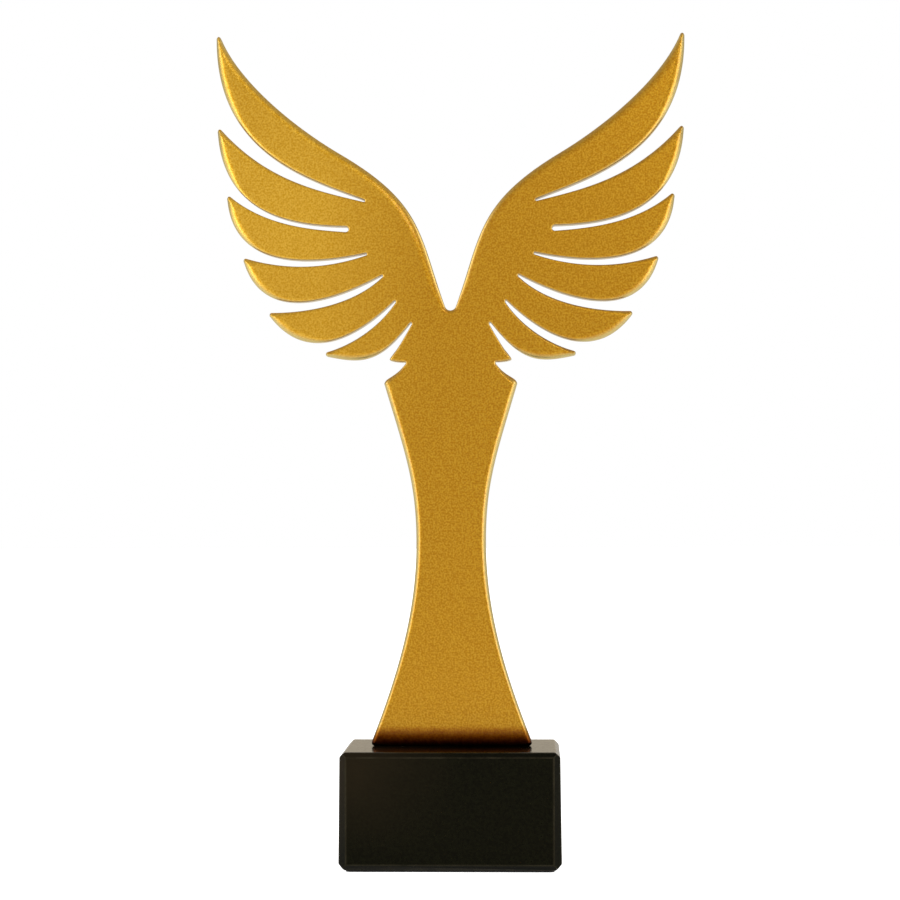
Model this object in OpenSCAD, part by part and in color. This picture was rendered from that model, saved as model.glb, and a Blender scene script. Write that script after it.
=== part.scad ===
// Winged award: a flat gold figure with two six-feathered wings on a slender
// stem, bolted from below to a black block whose edges are all chamfered.
// A felt pad under the block closes the two screw pockets.
// The front faces -Y and the origin is in the middle of the pad's underside.

/* [Figure] */
// Height of the figure above the block; its width follows
figure_h = 249; // [200:1:270]
// Thickness of the figure
plate_t = 6; // [6:0.5:10]

/* [Block] */
// Width of the block at its foot
block_w = 76.6; // [68:0.2:110]
// Depth of the block from front to back
block_d = 50; // [36:1:90]
// Height of the block without its pad
block_h = 40.5; // [32:0.5:60]
// Chamfer round the top of the block
top_chamfer = 1.7; // [0.6:0.1:4]
// Chamfer round the foot of the block
foot_chamfer = 2.2; // [0.6:0.1:4]
// Chamfer down each corner of the block
corner_chamfer = 2.8; // [0.6:0.1:4]
// How far each end of the block leans in on its way up
end_lean = 0.5; // [0:0.1:1.5]

/* [Pad] */
// Thickness of the felt pad
pad_t = 0.5; // [0.5:0.1:3]
// Distance from the edge of the block's underside to the pad's edge
pad_margin = 0.3; // [0.2:0.1:4]
// Corner radius of the pad
pad_r = 2; // [1:0.5:5]

/* [Screws] */
// Distance between the two screws
screw_spacing = 34; // [26:1:38]
// Thread diameter of the screws
screw_d = 3; // [2.5:0.5:4]
// Length of each screw under its head
screw_l = 30; // [28:1:32]
// Block material left between a screw pocket and the figure
web_t = 19.5; // [18:0.5:20]
// Diameter of each screw pocket
pocket_d = 10; // [10:0.5:14]

/* [Hidden] */

// ---- Outline of the figure, drawn for the height below ----
drawn_h = 249;
// Radius at the tip of a feather, and at the root of the gap beside it
tip_r = 0.8;
root_r = 0.4;
// Longest straight piece on a curved edge, and pieces round a corner
edge_step = 3;
corner_steps = 6;
// Bottom of the V between the wings, with its radius
notch = [0, 154.5];
notch_r = 2;
// Right half from the foot up to the V. Each row is one corner:
// [centre, radius, handle that leaves it, handle that reaches the next].
// A positive radius rounds a tip, a negative one rounds the root of a gap
// and zero is a smooth point on a long edge.
half_outline = [
  // foot, waist and chest
  [[26.9, 1.2], 1.2, [18, 24], [12.2, 46.5]],
  [[12.2, 71.5], 0, [12.2, 92.5], [15.5, 103]],
  [[22.6, 127], 0.7, [22, 129], [19.5, 129.5]],
  // barb under the lowest feather
  [[16.1, 134.1], -0.4, [17, 134], [20, 135]],
  [[20.9, 135.5], 0.4, [19, 138.5], [20, 137]],
  // root and tip of each feather, the lowest feather first
  [[13.9, 147.9], -root_r, [24.5, 134.5], [30, 134.5]],
  [[43, 137.4], tip_r, [35, 139.5], [25.5, 146.5]],
  [[19.5, 155.6], -root_r, [34, 141.5], [50.5, 135]],
  [[62.8, 151.2], tip_r, [51.5, 151], [34.5, 154.5]],
  [[24, 164.6], -root_r, [39, 156.5], [65, 147]],
  [[71.9, 170.3], tip_r, [59.5, 166.5], [45, 167]],
  [[29.6, 172.3], -root_r, [45.5, 169], [75.5, 165.5]],
  [[77.6, 192.1], tip_r, [65.5, 182], [49.5, 182]],
  [[36.6, 181.1], -1, [52, 181.5], [79, 184.5]],
  [[80.9, 215.7], tip_r, [65, 198], [47, 195]],
  [[30.2, 191], -root_r, [49.5, 198.5], [81.5, 207.5]],
  // leading edge from the top tip to the V
  [[81.2, 248.2], tip_r, [74.5, 232.5], [54.5, 217]],
  [[38.5, 207.5], 0, [9, 190], [9, 179.5]],
];

function unit(v) = v / norm(v);
function right_of(v) = [v.y, -v.x];
function mirrored(p) = [-p.x, p.y];

// The whole outline, up the right side and down the left side.
half_n = len(half_outline);
going_down = [for (i = [half_n - 1:-1:0]) half_outline[i]];
foot = half_outline[0][0];
centres = concat([for (r = half_outline) r[0]], [notch], [for (r = going_down) mirrored(r[0])]);
radii = concat([for (r = half_outline) r[1]], [-notch_r], [for (r = going_down) r[1]]);
handles = concat([for (r = half_outline) [r[2], r[3]]],
                 [for (r = going_down) [mirrored(r[3]), mirrored(r[2])]],
                 [[mirrored(foot / 2 + [0, foot.y / 2]), foot / 2 + [0, foot.y / 2]]]);
corner_n = len(centres);

function next_corner(i) = (i + 1) % corner_n;
function last_corner(i) = (i + corner_n - 1) % corner_n;
function way_out(i) = unit(handles[i][0] - centres[i]);
function way_in(i) = unit(centres[i] - handles[last_corner(i)][1]);
function heading(v) = atan2(v.y, v.x);
// Angle turned at a corner: to the left round a tip, to the right round a root.
function turn(i) =
  let (s = sign(radii[i]), a = heading(way_out(i)) - heading(way_in(i)))
  s * ((s * a + 720) % 360);

// Cubic curve from the end of one corner's arc to the start of the next.
function cubic(p, t) =
  pow(1 - t, 3) * p[0] + 3 * pow(1 - t, 2) * t * p[1] + 3 * (1 - t) * t * t * p[2] + pow(t, 3) * p[3];
function edge_handles(i, shift_out, shift_in) =
  [centres[i] + shift_out, handles[i][0] + shift_out,
   handles[i][1] + shift_in, centres[next_corner(i)] + shift_in];
function edge_pieces(i) =
  i == corner_n - 1 ? 1 : 2 + ceil(norm(centres[next_corner(i)] - centres[i]) / edge_step);
function edge_points(i) =
  let (out = radii[i] * right_of(way_out(i)),
       in = radii[next_corner(i)] * right_of(way_in(next_corner(i))),
       pieces = edge_pieces(i),
       last = radii[next_corner(i)] == 0 ? pieces - 1 : pieces)
  [for (k = [0:last]) cubic(edge_handles(i, out, in), k / pieces)];

// Points of a corner's arc between its two edges.
function corner_points(i) =
  radii[i] == 0 ? [] :
  [for (k = [1:corner_steps - 1])
    let (a = heading(way_in(i)) - 90 + turn(i) * k / corner_steps)
    centres[i] + radii[i] * [cos(a), sin(a)]];

outline = [for (i = [0:corner_n - 1]) each concat(corner_points(i), edge_points(i))];

// ---- Screws, washers and their pockets ----
head_d = 1.75 * screw_d;
head_h = screw_d;
socket_w = 0.75 * screw_d;
socket_deep = 0.55 * screw_d;
head_chamfer = 0.3;
point_chamfer = 0.5;
// Gap all round a screw in the block, and in the figure's threaded hole
shank_gap = 0.25;
thread_gap = 0.05;
// Room between the point of a screw and the end of its hole
hole_spare = 2.5;
flat_d = 2.25 * screw_d;
flat_t = 0.8;
spring_d = 1.9 * screw_d;
spring_t = 1;
spring_split = 1;
washer_gap = 0.2;

block_top = pad_t + block_h;
// The pad ends inside the foot chamfer, and its round corners inside the corner chamfers
pad_inset = max(foot_chamfer, (corner_chamfer - 0.58 * pad_r) / 2) + pad_margin;
pocket_top = block_top - web_t;
washers_t = flat_t + spring_t;
head_top = pocket_top - washers_t;
screw_reach = screw_l - web_t - washers_t;
screw_x = screw_spacing / 2;
round_fn = 48;
small_overlap = 0.01;

// A rectangle from [0, 0] upwards, w wide and h tall. Its lower and upper corners
// have chamfers of their own, and its sides lean in by lean on the way up.
module chamfered(w, h, lower, upper, lean = 0) {
  foot_half = w / 2;
  top_half = w / 2 - lean;
  polygon([
    [-foot_half + lower, 0],
    [foot_half - lower, 0],
    [foot_half - lean * lower / h, lower],
    [top_half + lean * upper / h, h - upper],
    [top_half - upper, h],
    [-top_half + upper, h],
    [-top_half - lean * upper / h, h - upper],
    [-foot_half + lean * lower / h, lower]]);
}

// A hole round the screw axis at x, from z up to z + h.
module hole(x, z, d, h) {
  translate([x, 0, z]) cylinder(d = d, h = h, $fn = round_fn);
}

// A flat ring round the screw axis, standing on z.
module ring(x, z, outer_d, inner_d, h) {
  translate([x, 0, z])
    rotate_extrude($fn = round_fn)
      translate([inner_d / 2, 0]) square([(outer_d - inner_d) / 2, h]);
}

module wing_plate() {
  color("goldenrod")
    difference() {
      translate([0, plate_t / 2, block_top])
        rotate([90, 0, 0])
          linear_extrude(plate_t) polygon(outline * figure_h / drawn_h);
      for (x = [-screw_x, screw_x])
        hole(x, block_top - small_overlap, screw_d + 2 * thread_gap, screw_reach + hole_spare);
    }
}

module base_block() {
  color("black")
    difference() {
      intersection() {
        translate([0, block_d / 2, pad_t])
          rotate([90, 0, 0])
            linear_extrude(block_d) chamfered(block_w, block_h, foot_chamfer, top_chamfer, end_lean);
        translate([-block_w / 2, 0, pad_t])
          rotate([90, 0, 90])
            linear_extrude(block_w) chamfered(block_d, block_h, foot_chamfer, top_chamfer);
        translate([0, -block_d / 2, pad_t])
          linear_extrude(block_h) chamfered(block_w, block_d, corner_chamfer, corner_chamfer);
      }
      for (x = [-screw_x, screw_x]) {
        hole(x, pad_t, screw_d + 2 * shank_gap, block_h);
        hole(x, pad_t, pocket_d, block_h - web_t);
      }
    }
}

module felt_pad() {
  w = block_w - 2 * pad_inset;
  d = block_d - 2 * pad_inset;
  color("dimgray")
    linear_extrude(pad_t) {
      square([w - 2 * pad_r, d], center = true);
      square([w, d - 2 * pad_r], center = true);
      for (x = [-w / 2 + pad_r, w / 2 - pad_r], y = [-d / 2 + pad_r, d / 2 - pad_r])
        translate([x, y]) circle(r = pad_r, $fn = round_fn);
    }
}

// Socket head screw, head down, with its shank through block and figure.
module fixing_screw(x) {
  head_r = head_d / 2;
  shank_r = screw_d / 2;
  color("silver")
    difference() {
      translate([x, 0, head_top - head_h])
        rotate_extrude($fn = round_fn)
          polygon([
            [0, 0], [head_r - head_chamfer, 0], [head_r, head_chamfer], [head_r, head_h],
            [shank_r, head_h], [shank_r, head_h + screw_l - point_chamfer],
            [shank_r - point_chamfer, head_h + screw_l], [0, head_h + screw_l]]);
      translate([x, 0, head_top - head_h - small_overlap])
        cylinder(d = socket_w / cos(30), h = socket_deep, $fn = 6);
    }
}

// Split ring between the screw head and the flat washer.
module spring_washer(x) {
  color("silver")
    difference() {
      ring(x, head_top, spring_d, screw_d + 2 * washer_gap, spring_t);
      translate([x, -spring_split / 2, head_top - spring_t])
        cube([spring_d, spring_split, 3 * spring_t]);
    }
}

module flat_washer(x) {
  color("silver")
    ring(x, head_top + spring_t, flat_d, screw_d + 2 * washer_gap, flat_t);
}

module fixing_screw_left() { fixing_screw(-screw_x); }
module fixing_screw_right() { fixing_screw(screw_x); }
module spring_washer_left() { spring_washer(-screw_x); }
module spring_washer_right() { spring_washer(screw_x); }
module flat_washer_left() { flat_washer(-screw_x); }
module flat_washer_right() { flat_washer(screw_x); }

wing_plate();
base_block();
felt_pad();
fixing_screw_left();
fixing_screw_right();
spring_washer_left();
spring_washer_right();
flat_washer_left();
flat_washer_right();
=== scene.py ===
"""Looks of the winged trophy: gold figure with rounded rims, black lacquered block, felt, steel."""

import math

import bmesh
import bpy
import numpy as np
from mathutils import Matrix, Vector
from mathutils.geometry import delaunay_2d_cdt
from mathutils.kdtree import KDTree


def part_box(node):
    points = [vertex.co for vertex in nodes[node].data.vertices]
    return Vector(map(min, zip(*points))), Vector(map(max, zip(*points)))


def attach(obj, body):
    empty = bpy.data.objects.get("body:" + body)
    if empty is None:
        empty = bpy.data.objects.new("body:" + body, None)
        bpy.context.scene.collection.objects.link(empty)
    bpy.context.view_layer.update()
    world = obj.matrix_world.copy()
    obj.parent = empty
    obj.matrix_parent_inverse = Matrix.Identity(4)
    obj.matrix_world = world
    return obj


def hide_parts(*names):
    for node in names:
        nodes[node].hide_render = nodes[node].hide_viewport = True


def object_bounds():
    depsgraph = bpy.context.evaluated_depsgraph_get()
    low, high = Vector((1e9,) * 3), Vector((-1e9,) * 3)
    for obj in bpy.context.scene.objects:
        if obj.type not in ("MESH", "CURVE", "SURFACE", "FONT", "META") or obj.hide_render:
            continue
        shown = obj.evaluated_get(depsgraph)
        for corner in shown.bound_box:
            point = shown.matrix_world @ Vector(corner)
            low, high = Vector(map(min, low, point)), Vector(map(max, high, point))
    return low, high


MM = 0.001

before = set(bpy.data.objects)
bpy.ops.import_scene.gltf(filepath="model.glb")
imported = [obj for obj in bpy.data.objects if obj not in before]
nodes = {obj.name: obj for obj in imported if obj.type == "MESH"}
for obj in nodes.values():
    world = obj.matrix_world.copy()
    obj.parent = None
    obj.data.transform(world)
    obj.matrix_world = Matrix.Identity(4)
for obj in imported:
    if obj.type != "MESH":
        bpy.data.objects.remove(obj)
cad_low, cad_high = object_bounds()

# ---------------------------------------------------------------- figure mesh
RIM_MAX = 2.5 * MM      # how deep the rounding of the most open rim goes
RIM_AT = (20 * MM, 65 * MM, 110 * MM)       # heights above the block
RIM_DEEP = (1.7 * MM, 2.3 * MM, RIM_MAX)    # the deepest rounding at each
RIM_MIN = 0.55 * MM     # how deep it goes in a narrow gap
RIM_INNER = 0.62        # share of its depth where a wing's edge faces the middle or up
INWARD = (-0.8, 0.1)    # an edge's facing that counts as fully inward, and as outward
RIM_SHARE = 0.55        # its depth as a share of the free radius outside it
RIM_STEPS = 8           # mesh steps round a quarter of a rim
WING_SPREAD = 1.4       # how far in a rim reaches on the wings, as a share of its depth
WING_FROM = 125 * MM    # height above the block where the rims start to reach further in
WING_TO = 155 * MM      # height where they reach as far as they do on the wings
HEEL_HIGH = 7 * MM      # height of the foot over which its faces draw in
HEEL_DEEP = 0.8 * MM    # how far each face draws in
HEEL_RIM = 0.3 * MM     # rounding along the underside of the foot
FACES_DOWN = -0.9       # the outline is that underside where it faces further down than this
HEEL_STEPS = 9          # mesh steps up the heel
HEEL_GRID = 2 * MM      # mesh step across the heel
HEEL_CLEAR = 1.05       # the heel's mesh starts this many rim reaches inside the outline
OUTLINE_STEP = 0.8 * MM # mesh step along the outline
SEARCH_STEP = 0.12 * MM # step of the dense outline used for distances
STRAIGHT = 5 * MM       # a longer piece of the CAD outline is a straight edge
BLEND_LENGTH = 7 * MM   # rim depths are averaged along this length
STEEPEST = 50           # slope that stands for an upright face
FREE_ROUNDS = 9         # steps in the search for the free radius outside a rim
NEAR_ZERO = 1e-9        # the smallest radius in that search
FREE_SHARE = 0.93       # a circle is free if nothing is nearer than this share of its radius
OWN_SHARE = 0.97        # an inset point is kept if nothing is nearer than this share of its inset
FLAT = 1e-6             # points this near the front plane lie in it
GRID = 1e6              # front points match to a micrometre
CDT_MERGE = 1e-7        # mesh points nearer than this are one
CDT_INSIDE = 1          # makes delaunay_2d_cdt keep only what lies inside the outline


def front_loop(mesh, y_front):
    """The outline of the flat front face, anticlockwise as seen from the front, as (x, z) rows."""
    ids, points = {}, []

    def key(index):
        co = mesh.vertices[index].co
        name = (round(co.x * GRID), round(co.z * GRID))
        if name not in ids:
            ids[name] = len(points)
            points.append((co.x, co.z))
        return ids[name]

    used = {}
    for face in mesh.polygons:
        if all(abs(mesh.vertices[i].co.y - y_front) < FLAT for i in face.vertices):
            ring = [key(i) for i in face.vertices]
            for a, b in zip(ring, ring[1:] + ring[:1]):
                if a != b:
                    used[a, b] = True
    step = {a: b for a, b in used if (b, a) not in used}
    start = next(iter(step))
    loop, at = [start], step[start]
    while at != start:
        loop.append(at)
        at = step[at]
    loop = np.array([points[i] for i in loop])
    x, z = loop[:, 0], loop[:, 1]
    area = np.sum(x * np.roll(z, -1) - np.roll(x, -1) * z)
    return loop if area > 0 else loop[::-1]


def refine(loop, step):
    """The same closed outline with smooth points added between its own points."""
    ahead = np.roll(loop, -1, axis=0) - loop
    length = np.linalg.norm(ahead, axis=1)
    through = ahead + np.roll(ahead, 1, axis=0)
    tangent = through / np.linalg.norm(through, axis=1)[:, None]
    out = []
    for i in range(len(loop)):
        j = (i + 1) % len(loop)
        count = max(1, math.ceil(length[i] / step))
        for k in range(count):
            t = k / count
            if length[i] > STRAIGHT:
                out.append(loop[i] + t * ahead[i])
                continue
            bend_out = tangent[i] * length[i] * (t - 2 * t * t + t ** 3)
            bend_in = tangent[j] * length[i] * (t ** 3 - t * t)
            share = 3 * t * t - 2 * t ** 3
            out.append(loop[i] * (1 - share) + loop[j] * share + bend_out + bend_in)
    return np.array(out)


def outward(loop):
    """Unit normals of the outline, pointing out of the figure."""
    along = np.roll(loop, -1, axis=0) - np.roll(loop, 1, axis=0)
    normal = np.stack([along[:, 1], -along[:, 0]], axis=1)
    return normal / np.linalg.norm(normal, axis=1)[:, None]


def search_tree(points):
    tree = KDTree(len(points))
    for i, (x, z) in enumerate(points):
        tree.insert((x, z, 0), i)
    tree.balance()
    return tree


def nearest(tree, point):
    """Index of the nearest outline point, and how far it is."""
    _, index, distance = tree.find((point[0], point[1], 0))
    return index, distance


def heel(height):
    """How far a face has drawn in at this height above the block, and its slope there."""
    up = max(0.0, min(1.0, 1 - height / HEEL_HIGH))
    level = math.sqrt(1 - up * up)
    slope = HEEL_DEEP / HEEL_HIGH * up / max(level, 1 / STEEPEST)
    return HEEL_DEEP * (1 - level), slope


def free_radius(tree, point, normal):
    """Radius of the largest circle outside an outline point that touches nothing else."""
    free = RIM_MAX / RIM_SHARE
    searching, low = False, NEAR_ZERO
    for _ in range(FREE_ROUNDS):
        probe = (low + free) / 2 if searching else free
        if nearest(tree, point + normal * probe)[1] < probe * FREE_SHARE:
            free = probe
            searching = True
        elif searching:
            low = probe
        else:
            break
    return free


def rim_depths(loop, normal, tree, half, foot):
    """Depth of the rounding at each outline point: small where a gap is narrow."""
    depth = []
    for point, out in zip(loop, normal):
        if point[1] < foot + HEEL_RIM and out[1] < FACES_DOWN:
            depth.append(HEEL_RIM)
        else:
            share = free_radius(tree, point, out) * RIM_SHARE
            depth.append(min(RIM_MAX, max(RIM_MIN, share)))
    depth = np.array(depth)
    gap = np.linalg.norm(np.roll(loop, -1, axis=0) - loop, axis=1)
    place = np.concatenate([[0], np.cumsum(gap)[:-1]])
    total = gap.sum()
    smooth = np.empty_like(depth)
    for i in range(len(depth)):
        apart = np.abs(place - place[i])
        apart = np.minimum(apart, total - apart)
        weight = np.clip(1 - apart / BLEND_LENGTH, 0, 1) * gap
        smooth[i] = np.sum(weight * depth) / np.sum(weight)
    room = np.array([half - heel(point[1] - foot)[0] - HEEL_RIM for point in loop])
    deepest = np.interp(loop[:, 1] - foot, RIM_AT, RIM_DEEP)
    return np.minimum(np.minimum(smooth, deepest), room)


def figure_mesh(node, low, high):
    """The CAD plate with every edge rounded: two domed faces and a wall between them."""
    half = (high.y - low.y) / 2
    middle = (high.y + low.y) / 2
    cad_loop = front_loop(node.data, low.y)
    loop = refine(cad_loop, OUTLINE_STEP)
    normal = outward(loop)
    tree = search_tree(refine(cad_loop, SEARCH_STEP))
    own_tree = search_tree(loop)
    depth = rim_depths(loop, normal, tree, half, low.z)
    on_wing = np.clip((loop[:, 1] - low.z - WING_FROM) / (WING_TO - WING_FROM), 0, 1)
    reach = depth * (1 + (WING_SPREAD - 1) * on_wing)
    facing = normal[:, 0] * np.sign(loop[:, 0]) - np.clip(normal[:, 1], 0, 1)
    depth = depth * np.interp(np.clip(facing, *INWARD) * on_wing, INWARD, (RIM_INNER, 1))

    points, heights, slopes = [], [], []
    for p, n, deep in zip(loop, normal, depth):
        points.append((p[0], p[1]))
        heights.append(half - deep - heel(p[1] - low.z)[0])
        slopes.append((n[0], n[1], 0.0))

    def add(q, near):
        """A point on the face, this far inside the outline."""
        i = nearest(own_tree, q)[0]
        down = max(0.0, 1 - near / reach[i])
        level = math.sqrt(1 - down * down)
        tilt = depth[i] / reach[i] * down / max(level, 1 / STEEPEST)
        drawn_in, heel_tilt = heel(q[1] - low.z)
        points.append((q[0], q[1]))
        heights.append(half - depth[i] * (1 - level) - drawn_in)
        slopes.append((normal[i][0] * tilt, normal[i][1] * tilt - heel_tilt, 1.0))

    for step in range(1, RIM_STEPS + 1):
        angle = math.pi / 2 * step / RIM_STEPS
        for p, n, far in zip(loop, normal, reach):
            inset = far * (1 - math.cos(angle))
            q = p - n * inset
            near = nearest(tree, q)[1]
            if near > inset * OWN_SHARE:
                add(q, near)
    for step in range(1, HEEL_STEPS + 1):
        z = low.z + HEEL_HIGH * (1 - math.cos(math.pi / 2 * step / HEEL_STEPS))
        for x in np.arange(low.x, high.x, HEEL_GRID):
            near = nearest(tree, (x, z))[1]
            i = nearest(own_tree, (x, z))[0]
            inside = (x - loop[i][0]) * normal[i][0] + (z - loop[i][1]) * normal[i][1] < 0
            if inside and near > reach[i] * HEEL_CLEAR:
                add((x, z), near)

    count = len(loop)
    edges = [(i, (i + 1) % count) for i in range(count)]
    flat = [Vector(p) for p in points]
    made = delaunay_2d_cdt(flat, edges, [], CDT_INSIDE, CDT_MERGE)
    places, faces, origin = made[0], made[2], made[3]

    mesh = bpy.data.meshes.new("wing_figure")
    build = bmesh.new()
    layers, normals = [], []
    for side in (-1, 1):
        row = []
        for place, source in zip(places, origin):
            height = heights[source[0]]
            row.append(build.verts.new((place.x, middle + side * height, place.y)))
            sx, sz, sy = slopes[source[0]]
            normals.append(Vector((sx, side * sy, sz)).normalized())
        layers.append(row)
        for face in faces:
            ring = [row[i] for i in face]
            build.faces.new(ring if side < 0 else ring[::-1])
    first = {source[0]: i for i, source in reversed(list(enumerate(origin)))}
    front, back = layers
    for i in range(count):
        a, b = first[i], first[(i + 1) % count]
        build.faces.new((front[b], front[a], back[a], back[b]))
    for face in build.faces:
        face.smooth = True
    bmesh.ops.recalc_face_normals(build, faces=build.faces)
    build.to_mesh(mesh)
    build.free()
    mesh.normals_split_custom_set_from_vertices(normals)
    return mesh


# ---------------------------------------------------------------- material tools
MIX_FIRST, MIX_SECOND, MIX_RESULT = 6, 7, 2     # the colour sockets of a Mix node
NOISE_LOW, NOISE_HIGH = 0.3, 0.7                # where most of a noise lies


def new_material(name):
    """A material with an empty tree but for its shader and output."""
    material = bpy.data.materials.new(name)
    material.use_nodes = True
    tree = material.node_tree
    tree.nodes.clear()
    out = tree.nodes.new("ShaderNodeOutputMaterial")
    shader = tree.nodes.new("ShaderNodeBsdfPrincipled")
    tree.links.new(shader.outputs["BSDF"], out.inputs["Surface"])
    return material, tree, shader


def set_or_link(tree, value, socket):
    """Gives a socket a number, a colour or a link."""
    if isinstance(value, (int, float)):
        socket.default_value = value
    elif isinstance(value, tuple):
        socket.default_value = (*value, 1)
    else:
        tree.links.new(value, socket)


def noise(tree, scale, detail=2.0, roughness=0.5, stretch=(1, 1, 1)):
    """Noise fixed to the object, with about this many lumps to a metre."""
    where = tree.nodes.new("ShaderNodeTexCoord")
    mapping = tree.nodes.new("ShaderNodeMapping")
    mapping.inputs["Scale"].default_value = stretch
    texture = tree.nodes.new("ShaderNodeTexNoise")
    texture.inputs["Scale"].default_value = scale
    texture.inputs["Detail"].default_value = detail
    texture.inputs["Roughness"].default_value = roughness
    tree.links.new(where.outputs["Object"], mapping.inputs["Vector"])
    tree.links.new(mapping.outputs["Vector"], texture.inputs["Vector"])
    return texture.outputs["Fac"]


def spread(tree, value, low, high, from_low=NOISE_LOW, from_high=NOISE_HIGH):
    """The value stretched to run between two numbers."""
    ranged = tree.nodes.new("ShaderNodeMapRange")
    ranged.inputs["From Min"].default_value = from_low
    ranged.inputs["From Max"].default_value = from_high
    ranged.inputs["To Min"].default_value = low
    ranged.inputs["To Max"].default_value = high
    tree.links.new(value, ranged.inputs["Value"])
    return ranged.outputs["Result"]


def axes(tree, vector):
    """The three parts of a vector, by the names X, Y and Z."""
    split = tree.nodes.new("ShaderNodeSeparateXYZ")
    tree.links.new(vector, split.inputs[0])
    return split.outputs


def colour_steps(tree, value, steps):
    """Colours at chosen places along a value."""
    ramp = tree.nodes.new("ShaderNodeValToRGB")
    row = ramp.color_ramp.elements
    while len(row) < len(steps):
        row.new(0.5)
    for element, (place, colour) in zip(row, steps):
        element.position = place
        element.color = (*colour, 1)
    tree.links.new(value, ramp.inputs["Fac"])
    return ramp.outputs["Color"]


def two_colours(tree, value, dark, light):
    return colour_steps(tree, value, ((0.0, dark), (1.0, light)))


def bump(tree, shader, value, strength, distance, onto=None):
    node = tree.nodes.new("ShaderNodeBump")
    node.inputs["Strength"].default_value = strength
    node.inputs["Distance"].default_value = distance
    tree.links.new(value, node.inputs["Height"])
    if onto is not None:
        tree.links.new(onto, node.inputs["Normal"])
    tree.links.new(node.outputs["Normal"], shader.inputs["Normal"])
    return node.outputs["Normal"]


def mixed(tree, share, first, second, blend="MIX"):
    """Two colours mixed, the second by this share."""
    node = tree.nodes.new("ShaderNodeMix")
    node.data_type = "RGBA"
    node.blend_type = blend
    set_or_link(tree, share, node.inputs["Factor"])
    set_or_link(tree, first, node.inputs[MIX_FIRST])
    set_or_link(tree, second, node.inputs[MIX_SECOND])
    return node.outputs[MIX_RESULT]


def combined(tree, kind, *values):
    """The values taken together, first with second and so on, by one kind of Math node."""
    result = values[0]
    for value in values[1:]:
        node = tree.nodes.new("ShaderNodeMath")
        node.operation = kind
        set_or_link(tree, result, node.inputs[0])
        set_or_link(tree, value, node.inputs[1])
        result = node.outputs[0]
    return result


def size_of(tree, value):
    """The value without its sign."""
    node = tree.nodes.new("ShaderNodeMath")
    node.operation = "ABSOLUTE"
    tree.links.new(value, node.inputs[0])
    return node.outputs[0]


# ---------------------------------------------------------------- materials
# Pairs of colours are the darkest and the lightest of a grain.
GOLD = (0.472, 0.202, 0.001), (0.624, 0.330, 0.016)
# Painted light: the gold's colours where it is painted as more lit, towards the left wing and up
GOLD_IN_PAINTED_LIGHT = (0.705, 0.38, 0.012), (0.905, 0.545, 0.06)
GOLD_LIGHT_ASIDE = (-8 * MM, -45 * MM)    # X where the painted light on the coat starts, and is strongest
GOLD_LIGHT_RAISED = (-45 * MM, -10 * MM)  # the same for Z, from where the wings are at full width
# Painted highlight: the pale colour put on the rims in place of their highlights
RIM_HIGHLIGHT_GOLD = (0.61, 0.50, 0.20)
GOLD_GRAIN = 1620           # lumps to a metre
GOLD_HIGHLIGHT_FACING = (0.7, 0.96)      # how squarely a rim faces the front where its painted highlight is full, and where there is none
GOLD_HIGHLIGHT_UP = (0.25, 0.75)      # how much a rim faces up where its painted highlight starts to fade, and is least
FOOT_SHADE_HIGH = 8 * MM       # how far up from the block the gold is darkened by painted shade
FOOT_SHADE_WAVE = 0.3 * MM     # how much the painted shade's edge wanders
FOOT_PAINTED_SHADE = (                 # painted shade: what the gold is multiplied by, from the block up
    (0.0, (0.01, 0.002, 0.0)), (0.2, (0.11, 0.035, 0.01)), (0.42, (0.32, 0.155, 0.04)),
    (0.6, (0.5, 0.33, 0.1)), (0.77, (0.8, 0.66, 0.45)), (0.92, (1.0, 1.0, 1.0)))

BLACK = (0.0, 0.0, 0.0), (0.0030, 0.0031, 0.0011)
# Painted light: the warmer, lighter black painted towards the upper left of the block
BLACK_IN_PAINTED_LIGHT = (0.0150, 0.0098, 0.0048)
BLACK_LIGHT_ASIDE = (4 * MM, -36 * MM)    # X where the painted light on the lacquer starts, and is strongest
BLACK_LIGHT_RAISED = (6 * MM, 36 * MM)    # the same for Z
# Painted highlight: the lighter colour put along the eased edges
ARRIS_HIGHLIGHT_BLACK = (0.027, 0.0225, 0.0135)
LACQUER_TINT = (1.0, 0.94, 0.6, 1)
LONG_GRAIN = (0.12, 1, 1)       # draws the lumps of a noise out along X
BLOCK_FACE = (0.96, 0.995)      # how squarely an edge faces where its painted highlight is full, and where there is none
BLOCK_CHAMFER = (0.72, 0.80)    # the same for a chamfer: no painted highlight, and a full one

FELT = (0.004, 0.004, 0.004), (0.02, 0.02, 0.02)
ZINC = (0.50, 0.51, 0.53), (0.66, 0.66, 0.68)
PAPER = (0.86, 0.86, 0.86), (0.9, 0.9, 0.9)


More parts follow.
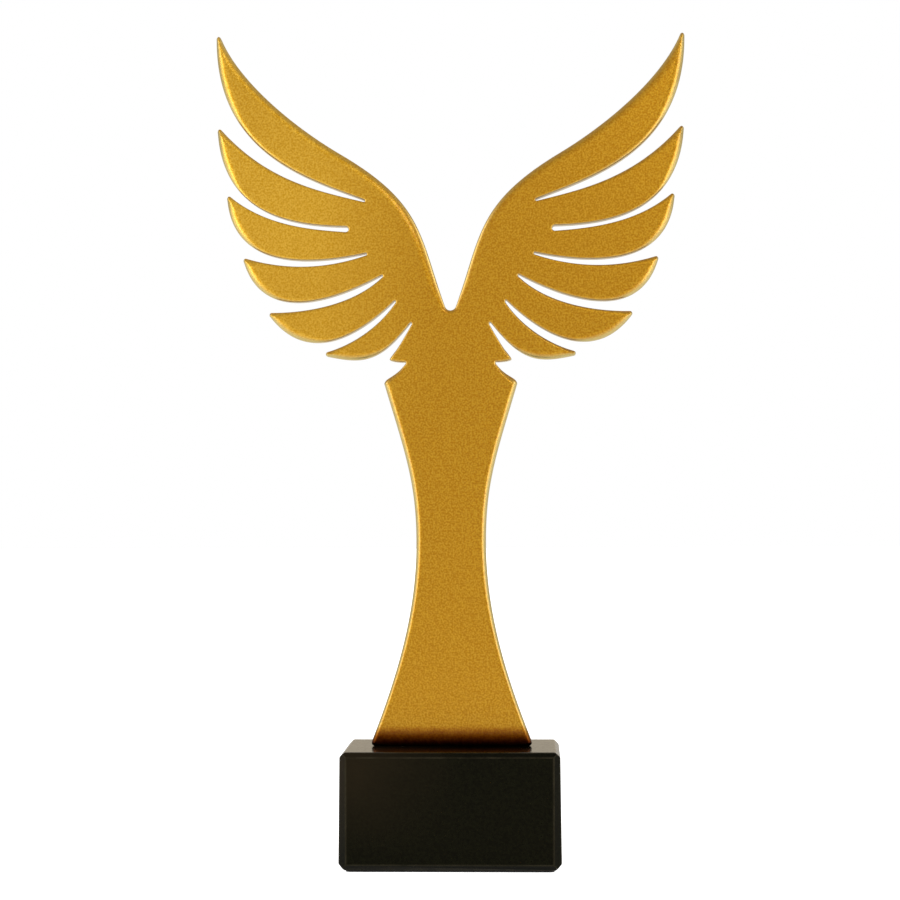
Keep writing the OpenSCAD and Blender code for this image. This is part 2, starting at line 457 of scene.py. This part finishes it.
def gold_coat(foot, wings):
    """Gold metallic coat: a fine grain, painted light towards one wing, painted highlights on the rims
    and painted shade on the foot where it meets the block.

    The two heights are those of the figure's underside and of where its wings are at full width.
    """
    material, tree, shader = new_material("gold_metallic_coat")
    where = tree.nodes.new("ShaderNodeTexCoord")
    facing = axes(tree, where.outputs["Normal"])
    place = axes(tree, where.outputs["Object"])

    grain = noise(tree, GOLD_GRAIN, 0)
    shade = spread(tree, grain, 0, 1)
    gold = two_colours(tree, shade, *GOLD)
    lit_gold = two_colours(tree, shade, *GOLD_IN_PAINTED_LIGHT)
    # Painted light: the coat is painted lighter towards the left wing and up, in soft clouds
    light_aside = spread(tree, place["X"], 0.0, 1.0, *GOLD_LIGHT_ASIDE)
    light_raised = spread(tree, place["Z"], 0.0, 1.0, *[wings + z for z in GOLD_LIGHT_RAISED])
    light_clouds = spread(tree, noise(tree, 14, 2), 0.45, 0.85)
    coat = mixed(tree, combined(tree, "MULTIPLY", light_aside, light_raised, light_clouds), gold, lit_gold)

    # Painted highlight: pale gold along rims that face sideways or down, in patches, less on rims
    # facing up
    rim = spread(tree, size_of(tree, facing["Y"]), 1.0, 0.0, *GOLD_HIGHLIGHT_FACING)
    highlight_patches = spread(tree, noise(tree, 260, 3, 0.6), 0.75, 1.0)
    kept = spread(tree, facing["Z"], 1.0, 0.1, *GOLD_HIGHLIGHT_UP)
    coat = mixed(tree, combined(tree, "MULTIPLY", rim, highlight_patches, kept), coat, RIM_HIGHLIGHT_GOLD)

    # Painted shade: the gold darkens towards the block, where the foot meets it
    wave = spread(tree, noise(tree, 400, 2), -FOOT_SHADE_WAVE, FOOT_SHADE_WAVE)
    edge = combined(tree, "ADD", place["Z"], wave)
    height = spread(tree, edge, 0.0, 1.0, foot, foot + FOOT_SHADE_HIGH)
    foot_shade = colour_steps(tree, height, FOOT_PAINTED_SHADE)
    set_or_link(tree, mixed(tree, 1.0, coat, foot_shade, "MULTIPLY"), shader.inputs["Base Color"])

    set_or_link(tree, spread(tree, noise(tree, 900, 2), 0.32, 0.38), shader.inputs["Roughness"])
    shader.inputs["Metallic"].default_value = 1.0
    # Less coat near the block, as part of the painted shade there
    set_or_link(tree, spread(tree, height, 0.05, 0.34, 0.4, 0.95), shader.inputs["Coat Weight"])
    shader.inputs["Coat Roughness"].default_value = 0.12
    shader.inputs["Coat IOR"].default_value = 1.5
    swell = bump(tree, shader, noise(tree, 90, 1), 0.15, 0.1 * MM)
    bump(tree, shader, grain, 0.2, 0.04 * MM, swell)
    return material


def black_lacquer():
    """Satin black lacquer on wood: a speckle, a faint long grain, painted light towards its upper
    left, painted highlights along its eased edges.
    """
    material, tree, shader = new_material("black_satin_lacquer")
    where = tree.nodes.new("ShaderNodeTexCoord")
    facing = axes(tree, where.outputs["Normal"])
    place = axes(tree, where.outputs["Object"])

    speckle = spread(tree, noise(tree, 1300, 1), 0, 1)
    black = two_colours(tree, speckle, *BLACK)
    # Painted light: the black is painted lighter and browner towards the upper left, in clouds
    light_aside = spread(tree, place["X"], 0.0, 1.0, *BLACK_LIGHT_ASIDE)
    light_raised = spread(tree, place["Z"], 0.0, 1.0, *BLACK_LIGHT_RAISED)
    light_clouds = spread(tree, noise(tree, 60, 2), 0.6, 1.0)
    black = mixed(tree, combined(tree, "MULTIPLY", light_aside, light_raised, light_clouds), black, BLACK_IN_PAINTED_LIGHT)

    # Painted highlight: a lighter colour along the eased edges between faces and chamfers, in patches
    square = combined(tree, "MAXIMUM", *[size_of(tree, facing[axis]) for axis in "XYZ"])
    off_face = spread(tree, square, 1.0, 0.0, *BLOCK_FACE)
    off_chamfer = spread(tree, square, 0.0, 1.0, *BLOCK_CHAMFER)
    highlight_patches = spread(tree, noise(tree, 180, 3, 0.6), 0.25, 1.0)
    arris_highlight = combined(tree, "MULTIPLY", off_face, off_chamfer, highlight_patches)
    set_or_link(tree, mixed(tree, arris_highlight, black, ARRIS_HIGHLIGHT_BLACK), shader.inputs["Base Color"])
    set_or_link(tree, spread(tree, noise(tree, 700, 3), 0.14, 0.19), shader.inputs["Roughness"])
    shader.inputs["Specular IOR Level"].default_value = 0.08
    shader.inputs["Specular Tint"].default_value = LACQUER_TINT
    bump(tree, shader, noise(tree, 260, 4, 0.6, LONG_GRAIN), 0.08, 0.05 * MM)
    return material


def felt():
    material, tree, shader = new_material("black_felt")
    fibre = noise(tree, 2600, 4, 0.7)
    set_or_link(tree, two_colours(tree, fibre, *FELT), shader.inputs["Base Color"])
    shader.inputs["Roughness"].default_value = 1.0
    shader.inputs["Sheen Weight"].default_value = 0.3
    bump(tree, shader, fibre, 0.8, 0.2 * MM)
    return material


def zinc():
    material, tree, shader = new_material("zinc_plated_steel")
    cloud = noise(tree, 600, 3, 0.6)
    set_or_link(tree, two_colours(tree, cloud, *ZINC), shader.inputs["Base Color"])
    set_or_link(tree, spread(tree, cloud, 0.25, 0.4), shader.inputs["Roughness"])
    shader.inputs["Metallic"].default_value = 1.0
    bump(tree, shader, cloud, 0.1, 0.02 * MM)
    return material


def paper():
    """Pale paper that looks white to the camera and glows faintly for everything else."""
    material, tree, shader = new_material("pale_paper")
    set_or_link(tree, two_colours(tree, noise(tree, 40, 2), *PAPER), shader.inputs["Base Color"])
    shader.inputs["Roughness"].default_value = 0.9
    shader.inputs["Specular IOR Level"].default_value = 0.1
    shader.inputs["Emission Color"].default_value = (1, 1, 1, 1)
    seen = tree.nodes.new("ShaderNodeLightPath").outputs["Is Camera Ray"]
    set_or_link(tree, spread(tree, seen, 0.3, 1.0, 0, 1), shader.inputs["Emission Strength"])
    return material


def set_material(obj, material):
    obj.data.materials.clear()
    obj.data.materials.append(material)


# ---------------------------------------------------------------- object
EASED = 0.4 * MM            # width of the easing along the block's edges
EASED_STEPS = 3
EASED_FROM = 25             # degrees between faces from which an edge is eased
WELD = 0.01 * MM            # points of a CAD mesh nearer than this are one

plate_low, plate_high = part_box("wing_plate")
figure = bpy.data.objects.new(
    "wing_figure", figure_mesh(nodes["wing_plate"], plate_low, plate_high))
bpy.context.scene.collection.objects.link(figure)
set_material(figure, gold_coat(plate_low.z, plate_low.z + WING_TO))
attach(figure, "root")
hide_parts("wing_plate")


def eased(node, width):
    """Rounds a CAD node's edges a little with modifiers."""
    weld = node.modifiers.new("join", "WELD")
    weld.merge_threshold = WELD
    ease = node.modifiers.new("ease", "BEVEL")
    ease.width = width
    ease.segments = EASED_STEPS
    ease.limit_method = "ANGLE"
    ease.angle_limit = math.radians(EASED_FROM)
    ease.harden_normals = False


steel = zinc()
for name, node in nodes.items():
    if name == "wing_plate":
        continue
    if name == "base_block":
        set_material(node, black_lacquer())
        eased(node, EASED)
    elif name == "felt_pad":
        set_material(node, felt())
    else:
        set_material(node, steel)

# ---------------------------------------------------------------- stage
FLOOR_HALF = 6.0
floor_mesh = bpy.data.meshes.new("floor")
floor_mesh.from_pydata(
    [(x * FLOOR_HALF, y * FLOOR_HALF, 0) for x, y in ((-1, -1), (1, -1), (1, 1), (-1, 1))],
    [], [(0, 1, 2, 3)])
floor = bpy.data.objects.new("floor", floor_mesh)
bpy.context.scene.collection.objects.link(floor)
set_material(floor, paper())


def direction(azimuth, elevation):
    """Unit vector away from the trophy. Azimuth 0 is straight in front, and 90 to the right."""
    turn, lift = math.radians(azimuth), math.radians(elevation)
    return Vector(
        (math.sin(turn) * math.cos(lift), -math.cos(turn) * math.cos(lift), math.sin(lift)))


def soft_light(name, azimuth, elevation, distance, width, height, brightness):
    """A rectangular softbox aimed at the middle of the trophy."""
    aim = (cad_low + cad_high) / 2
    way = direction(azimuth, elevation)
    data = bpy.data.lights.new(name, "AREA")
    data.shape = "RECTANGLE"
    data.size, data.size_y = width, height
    data.energy = brightness * width * height * math.pi
    lamp = bpy.data.objects.new(name, data)
    lamp.location = aim + way * distance
    lamp.rotation_euler = (-way).to_track_quat("-Z", "Y").to_euler()
    lamp.visible_camera = False
    bpy.context.scene.collection.objects.link(lamp)


# Name, azimuth, elevation, distance, width, height and brightness of the softboxes on each side
SIDE_BOXES = (
    ("box", 59, 3, 0.5, 0.155, 0.34, 2.6),
    ("low_box", 86, -4, 0.5, 0.14, 0.15, 0.8),
    ("high_box", 73, 30, 0.7, 0.30, 0.26, 2.5))
for kind, azimuth, *rest in SIDE_BOXES:
    for side, sign in (("left", -1), ("right", 1)):
        soft_light(f"{side}_{kind}", sign * azimuth, *rest)
soft_light("high_box", 17, 25, 1.2, 0.28, 0.28, 3.2)

# The world is white where the camera sees it. Elsewhere it is a soft even
# studio, a little brighter to the left of the camera, with a warm wall low
# behind the trophy.
ROOM_COLOUR = (1.0, 0.97, 0.92)
ROOM_LIGHT = (0.56, 0.90)       # evenly, and in the middle of the brighter part
LEFT_GLOW = (-22, 6)            # azimuth and elevation of that middle
LEFT_REACH = (32, 6)            # degrees from it where the glow starts, and is full
WALL_COLOUR = (1.0, 0.87, 0.67)
WALL_LIGHT = 0.8
WALL_BEHIND = (0.7, 0.95)       # how far behind the wall starts, and is full, as a direction's Y
WALL_LOW = (0.15, 0.6)          # how high it starts to end, and has ended, as a direction's Z

world = bpy.data.worlds.new("studio")
bpy.context.scene.world = world
world.use_nodes = True
tree = world.node_tree
tree.nodes.clear()


def background(colour, strength):
    node = tree.nodes.new("ShaderNodeBackground")
    set_or_link(tree, colour, node.inputs["Color"])
    set_or_link(tree, strength, node.inputs["Strength"])
    return node.outputs[0]


def either(share, first, second):
    """The second of two backgrounds by this share, over the first."""
    node = tree.nodes.new("ShaderNodeMixShader")
    for value, socket in zip((share, first, second), node.inputs):
        tree.links.new(value, socket)
    return node.outputs[0]


way = tree.nodes.new("ShaderNodeTexCoord").outputs["Generated"]
split = axes(tree, way)
behind = spread(tree, split["Y"], 0.0, 1.0, *WALL_BEHIND)
low_down = spread(tree, split["Z"], 1.0, 0.0, *WALL_LOW)
wall = combined(tree, "MULTIPLY", behind, low_down)

towards = tree.nodes.new("ShaderNodeVectorMath")
towards.operation = "DOT_PRODUCT"
towards.inputs[1].default_value = direction(*LEFT_GLOW)
tree.links.new(way, towards.inputs[0])
glow = spread(tree, towards.outputs["Value"], *ROOM_LIGHT,
              *[math.cos(math.radians(angle)) for angle in LEFT_REACH])

room = either(wall, background(ROOM_COLOUR, glow), background(WALL_COLOUR, WALL_LIGHT))
seen = tree.nodes.new("ShaderNodeLightPath").outputs["Is Camera Ray"]
out = tree.nodes.new("ShaderNodeOutputWorld")
tree.links.new(either(seen, room, background((1, 1, 1), 1.0)), out.inputs["Surface"])

# ---------------------------------------------------------------- camera
CAMERA_SIDE = 27.6 * MM      # to the right of the trophy's middle
CAMERA_BACK = 839.6 * MM     # in front of the figure's middle plane
CAMERA_UP = 125.6 * MM       # above what the trophy stands on
CAMERA_TURN = 1.91           # degrees to the left, back towards the trophy
CAMERA_PITCH = -0.2          # degrees upwards
CAMERA_ROLL = 0.16           # degrees clockwise
CAMERA_SENSOR = 36           # mm
CAMERA_LENS = 95.78          # mm
CAMERA_SHIFT = 0.0699        # upwards, to centre the trophy without tilting the camera
CAMERA_RANGE = (0.05, 50)    # nearest and furthest distance that it sees

camera_data = bpy.data.cameras.new("camera")
camera_data.sensor_width = CAMERA_SENSOR
camera_data.lens = CAMERA_LENS
camera_data.shift_y = CAMERA_SHIFT
camera_data.clip_start, camera_data.clip_end = CAMERA_RANGE
camera = bpy.data.objects.new("camera", camera_data)
camera.location = (CAMERA_SIDE, -CAMERA_BACK, cad_low.z + CAMERA_UP)
camera.rotation_euler = [
    math.radians(angle) for angle in (90 + CAMERA_PITCH, CAMERA_ROLL, CAMERA_TURN)]
bpy.context.scene.collection.objects.link(camera)
bpy.context.scene.camera = camera
bpy.context.scene.view_settings.view_transform = "Standard"
bpy.context.scene.view_settings.look = "None"
